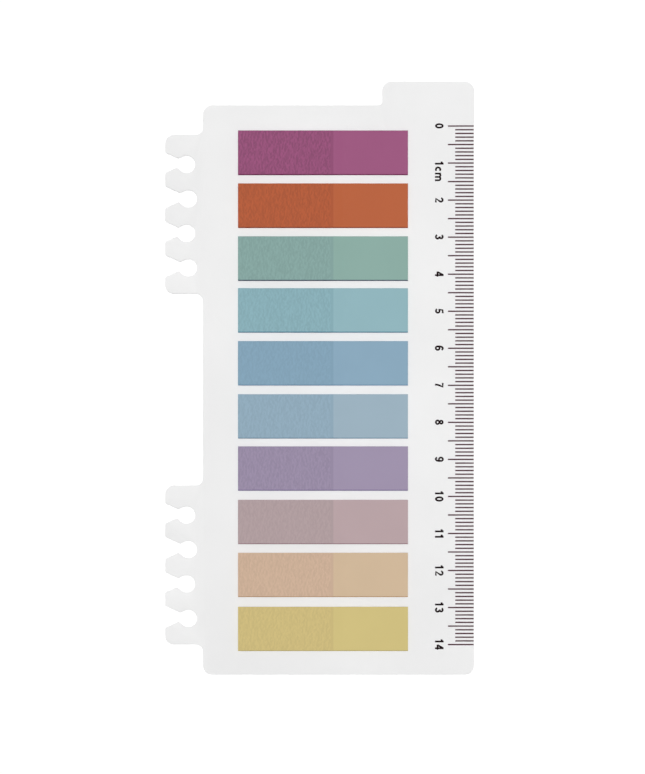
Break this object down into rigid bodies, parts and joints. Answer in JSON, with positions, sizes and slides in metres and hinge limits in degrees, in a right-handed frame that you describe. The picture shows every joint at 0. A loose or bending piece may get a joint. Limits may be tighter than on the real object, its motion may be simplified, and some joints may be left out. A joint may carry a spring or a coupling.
{
  "type": "sticky index tabs",
  "caption": "Pads of coloured film sticky flags in a column on a milky plastic ruler card, with ring-binder fingers on one long edge, a scale on the other and a grip tab.",
  "frame": {"origin": "on the card's back face, at the middle of the card's whole outline, fingers and grip tab included", "axes": "+X towards the measuring edge, with the binder fingers at -X; +Y along the card towards the grip tab; +Z out of the face that carries the flags"},
  "size_m": [0.0834, 0.1602, 0.0017],
  "materials": {
    "card_plastic": "satin",
    "film_plum": "satin",
    "film_rust": "satin",
    "film_sage": "satin",
    "film_aqua": "satin",
    "film_steel_blue": "satin",
    "film_pale_blue": "satin",
    "film_lavender": "satin",
    "film_rose": "satin",
    "film_sand": "satin",
    "film_straw": "satin",
    "scale_ink": "matte"
  },
  "bodies": {
    "root": {"card": "card_plastic", "flag_pad_plum": "film_plum", "flag_pad_rust": "film_rust", "flag_pad_sage": "film_sage", "flag_pad_aqua": "film_aqua", "flag_pad_steel_blue": "film_steel_blue", "flag_pad_pale_blue": "film_pale_blue", "flag_pad_lavender": "film_lavender", "flag_pad_rose": "film_rose", "flag_pad_sand": "film_sand", "flag_pad_straw": "film_straw"}
  },
  "joints": []
}
